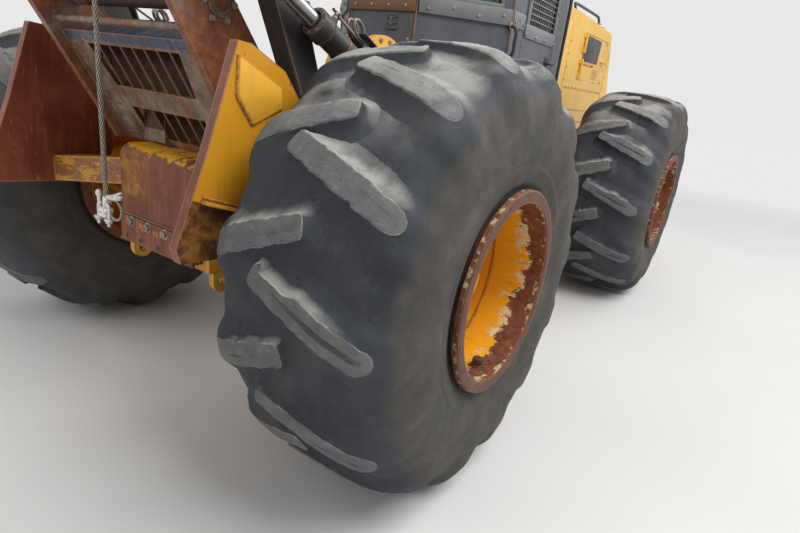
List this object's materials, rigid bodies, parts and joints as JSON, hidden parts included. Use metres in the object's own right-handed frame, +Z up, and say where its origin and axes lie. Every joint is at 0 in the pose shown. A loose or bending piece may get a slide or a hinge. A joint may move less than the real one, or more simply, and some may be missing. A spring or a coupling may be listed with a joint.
{
  "type": "grapple skidder",
  "caption": "Articulated log skidder with a leaning fairlead tower and winch rope, a tilting arch and boom with a hanging grapple, a guarded cab and a front blade",
  "frame": {"origin": "on the ground, below the middle of the machine over all", "axes": "+X forwards along the machine, +Y to its left, +Z up"},
  "size_m": [7.775, 3.4, 3.13],
  "materials": {
    "frame_yellow": "worn satin paint",
    "pin_steel": "worn steel",
    "axle_yellow": "dusty paint",
    "wing_paint": "rust-brown worn paint",
    "tower_steel": "rusted steel with bare edges",
    "rope_steel": "stranded wire",
    "boom_black": "black paint",
    "rod_chrome": "polished rod",
    "hood_yellow": "gloss paint",
    "cab_grey": "dark grey paint",
    "guard_black": "black paint",
    "cab_glass": "tinted glass",
    "lamp": "lamp lens",
    "seat_black": "woven cloth",
    "console": "moulded plastic",
    "engine": "painted casting",
    "blade_yellow": "scraped paint",
    "rim": "scratched paint",
    "tyre": "worn rubber"
  },
  "bodies": {
    "rear_frame": {"rear_frame": "frame_yellow", "tie_lugs": "frame_yellow", "hinge_pins": "pin_steel", "rear_axle": "axle_yellow", "butt_plate": "wing_paint", "wing_plates": "wing_paint", "fairlead_tower": "tower_steel", "fairlead_rollers": "pin_steel", "winch": "tower_steel", "winch_rope": "rope_steel", "rope_fittings": "rope_steel"},
    "front_frame": {"front_frame": "frame_yellow", "tow_ears": "frame_yellow", "front_axle": "axle_yellow", "engine_block": "engine", "hood": "hood_yellow", "grille": "guard_black", "cab": "cab_grey", "cab_glass": "cab_glass", "cab_roof": "cab_grey", "cab_guards": "guard_black", "cab_lamps": "lamp", "seat": "seat_black", "steering_console": "console", "exhaust_stack": "pin_steel", "air_cleaner": "guard_black", "steps": "guard_black", "side_tanks": "frame_yellow"},
    "arch": {"arch": "boom_black"},
    "arch_barrels": {"arch_cylinder_barrels": "boom_black"},
    "arch_rods": {"arch_cylinder_rods": "rod_chrome"},
    "boom": {"boom": "boom_black"},
    "boom_barrels": {"boom_cylinder_barrels": "boom_black"},
    "boom_rods": {"boom_cylinder_rods": "rod_chrome"},
    "grapple_link": {"grapple_link": "boom_black"},
    "grapple_head": {"grapple_head": "boom_black"},
    "tong_left": {"tong_left": "boom_black"},
    "tong_right": {"tong_right": "boom_black"},
    "tong_barrel": {"tong_cylinder_barrel": "boom_black"},
    "tong_rod": {"tong_cylinder_rod": "rod_chrome"},
    "blade": {"blade": "blade_yellow"},
    "blade_barrels": {"blade_cylinder_barrels": "boom_black"},
    "blade_rods": {"blade_cylinder_rods": "rod_chrome"},
    "door_left": {"door_left": "cab_grey"},
    "door_right": {"door_right": "cab_grey"},
    "engine_door_left": {"engine_door_left": "hood_yellow"},
    "engine_door_right": {"engine_door_right": "hood_yellow"},
    "steer_barrel_left": {"steer_barrel_left": "boom_black"},
    "steer_rod_left": {"steer_rod_left": "rod_chrome"},
    "steer_barrel_right": {"steer_barrel_right": "boom_black"},
    "steer_rod_right": {"steer_rod_right": "rod_chrome"},
    "wheel_rear_left": {"rim_rear_left": "rim", "tyre_rear_left": "tyre"},
    "wheel_rear_right": {"rim_rear_right": "rim", "tyre_rear_right": "tyre"},
    "wheel_front_left": {"rim_front_left": "rim", "tyre_front_left": "tyre"},
    "wheel_front_right": {"rim_front_right": "rim", "tyre_front_right": "tyre"}
  },
  "joints": [
    {"name": "articulation", "type": "hinge", "parent": "rear_frame", "child": "front_frame", "pos_m": [0.2625, 0, 0.95], "axis": [0, 0, 1], "range_deg": [-45, 45]},
    {"name": "wheel_spin_rear_left", "type": "hinge", "parent": "rear_frame", "child": "wheel_rear_left", "pos_m": [-1.5875, 1.28, 0.96], "axis": [0, 1, 0], "continuous": true},
    {"name": "wheel_spin_rear_right", "type": "hinge", "parent": "rear_frame", "child": "wheel_rear_right", "pos_m": [-1.5875, -1.28, 0.96], "axis": [0, 1, 0], "continuous": true},
    {"name": "wheel_spin_front_left", "type": "hinge", "parent": "front_frame", "child": "wheel_front_left", "pos_m": [2.1125, 1.28, 0.96], "axis": [0, 1, 0], "continuous": true},
    {"name": "wheel_spin_front_right", "type": "hinge", "parent": "front_frame", "child": "wheel_front_right", "pos_m": [2.1125, -1.28, 0.96], "axis": [0, 1, 0], "continuous": true},
    {"name": "steer_barrel_left_turn", "type": "hinge", "parent": "rear_frame", "child": "steer_barrel_left", "pos_m": [-0.6375, 0.52, 0.99], "axis": [0, 0, 1], "range_deg": [-1, 1]},
    {"name": "steer_rod_left_slide", "type": "slide", "parent": "steer_barrel_left", "child": "steer_rod_left", "axis": [0.96, -0.28, 0], "range_m": [-0.18, 0.18]},
    {"name": "steer_barrel_right_turn", "type": "hinge", "parent": "rear_frame", "child": "steer_barrel_right", "pos_m": [-0.6375, -0.52, 0.99], "axis": [0, 0, 1], "range_deg": [-1, 1]},
    {"name": "steer_rod_right_slide", "type": "slide", "parent": "steer_barrel_right", "child": "steer_rod_right", "axis": [0.96, 0.28, 0], "range_m": [-0.18, 0.18]},
    {"name": "arch_tilt", "type": "hinge", "parent": "rear_frame", "child": "arch", "pos_m": [-1.5875, 0, 1.17], "axis": [0, 1, 0], "range_deg": [-10, 25]},
    {"name": "arch_barrels_turn", "type": "hinge", "parent": "rear_frame", "child": "arch_barrels", "pos_m": [-0.7375, 0, 1.385], "axis": [0, 1, 0], "range_deg": [-6.1, 15.2]},
    {"name": "arch_rods_slide", "type": "slide", "parent": "arch_barrels", "child": "arch_rods", "axis": [-0.9009, 0, 0.4341], "range_m": [-0.27, 0.108]},
    {"name": "boom_lift", "type": "hinge", "parent": "arch", "child": "boom", "pos_m": [-2.2275, 0, 2.7], "axis": [0, 1, 0], "range_deg": [-10, 25]},
    {"name": "boom_barrels_turn", "type": "hinge", "parent": "arch", "child": "boom_barrels", "pos_m": [-2.1875, 0, 2.3], "axis": [0, 1, 0], "range_deg": [-7.6, 19]},
    {"name": "boom_rods_slide", "type": "slide", "parent": "boom_barrels", "child": "boom_rods", "axis": [-0.9645, 0, 0.2639], "range_m": [-0.064, 0.158]},
    {"name": "grapple_swing", "type": "hinge", "parent": "boom", "child": "grapple_link", "pos_m": [-3.7375, 0, 2.45], "axis": [0, 1, 0], "range_deg": [-15, 40]},
    {"name": "rotator", "type": "hinge", "parent": "grapple_link", "child": "grapple_head", "pos_m": [-3.7375, 0, 2.175], "axis": [0, 0, 1], "range_deg": [-90, 90]},
    {"name": "tong_open", "type": "hinge", "parent": "grapple_head", "child": "tong_left", "pos_m": [-3.7375, 0.23, 1.78], "axis": [1, 0, 0], "range_deg": [0, 38]},
    {"name": "tong_right_turn", "type": "hinge", "parent": "grapple_head", "child": "tong_right", "pos_m": [-3.7375, -0.23, 1.78], "axis": [1, 0, 0], "range_deg": [-38.5, 0]},
    {"name": "tong_barrel_turn", "type": "hinge", "parent": "tong_left", "child": "tong_barrel", "pos_m": [-3.7375, 0.38, 1.95], "axis": [1, 0, 0], "range_deg": [-38.5, 0]},
    {"name": "tong_rod_slide", "type": "slide", "parent": "tong_barrel", "child": "tong_rod", "axis": [0, -1, 0], "range_m": [-0.27, 0]},
    {"name": "blade_lift", "type": "hinge", "parent": "front_frame", "child": "blade", "pos_m": [2.6325, 0, 0.8], "axis": [0, -1, 0], "range_deg": [-3, 20]},
    {"name": "blade_barrels_turn", "type": "hinge", "parent": "front_frame", "child": "blade_barrels", "pos_m": [3.2125, 0, 1.33], "axis": [0, -1, 0], "range_deg": [-3, 17.6]},
    {"name": "blade_rods_slide", "type": "slide", "parent": "blade_barrels", "child": "blade_rods", "axis": [0.4876, 0, -0.8731], "range_m": [-0.27, 0.045]},
    {"name": "door_left_open", "type": "hinge", "parent": "front_frame", "child": "door_left", "pos_m": [0.2585, 0.765, 2.3], "axis": [0, 0, 1], "range_deg": [0, 95]},
    {"name": "engine_door_left_open", "type": "hinge", "parent": "front_frame", "child": "engine_door_left", "pos_m": [2.1685, 0.615, 2.2], "axis": [0, 0, 1], "range_deg": [0, 95]},
    {"name": "door_right_open", "type": "hinge", "parent": "front_frame", "child": "door_right", "pos_m": [0.2585, -0.765, 2.3], "axis": [0, 0, -1], "range_deg": [0, 95]},
    {"name": "engine_door_right_open", "type": "hinge", "parent": "front_frame", "child": "engine_door_right", "pos_m": [2.1685, -0.615, 2.2], "axis": [0, 0, -1], "range_deg": [0, 95]}
  ],
  "couplings": [
    {"joint": "steer_barrel_left_turn", "follows": "articulation", "ratio": -0.0086},
    {"joint": "steer_rod_left_slide", "follows": "articulation", "m_per_rad": -0.2212},
    {"joint": "steer_barrel_right_turn", "follows": "articulation", "ratio": -0.0086},
    {"joint": "steer_rod_right_slide", "follows": "articulation", "m_per_rad": 0.2212},
    {"joint": "arch_barrels_turn", "follows": "arch_tilt", "ratio": 0.6033},
    {"joint": "arch_rods_slide", "follows": "arch_tilt", "m_per_rad": -0.6141},
    {"joint": "boom_barrels_turn", "follows": "boom_lift", "ratio": 0.7569},
    {"joint": "boom_rods_slide", "follows": "boom_lift", "m_per_rad": 0.3604},
    {"joint": "tong_right_turn", "follows": "tong_open", "ratio": -1},
    {"joint": "tong_barrel_turn", "follows": "tong_open", "ratio": -1},
    {"joint": "tong_rod_slide", "follows": "tong_open", "m_per_rad": -0.401},
    {"joint": "blade_barrels_turn", "follows": "blade_lift", "ratio": 0.866},
    {"joint": "blade_rods_slide", "follows": "blade_lift", "m_per_rad": -0.7652}
  ]
}
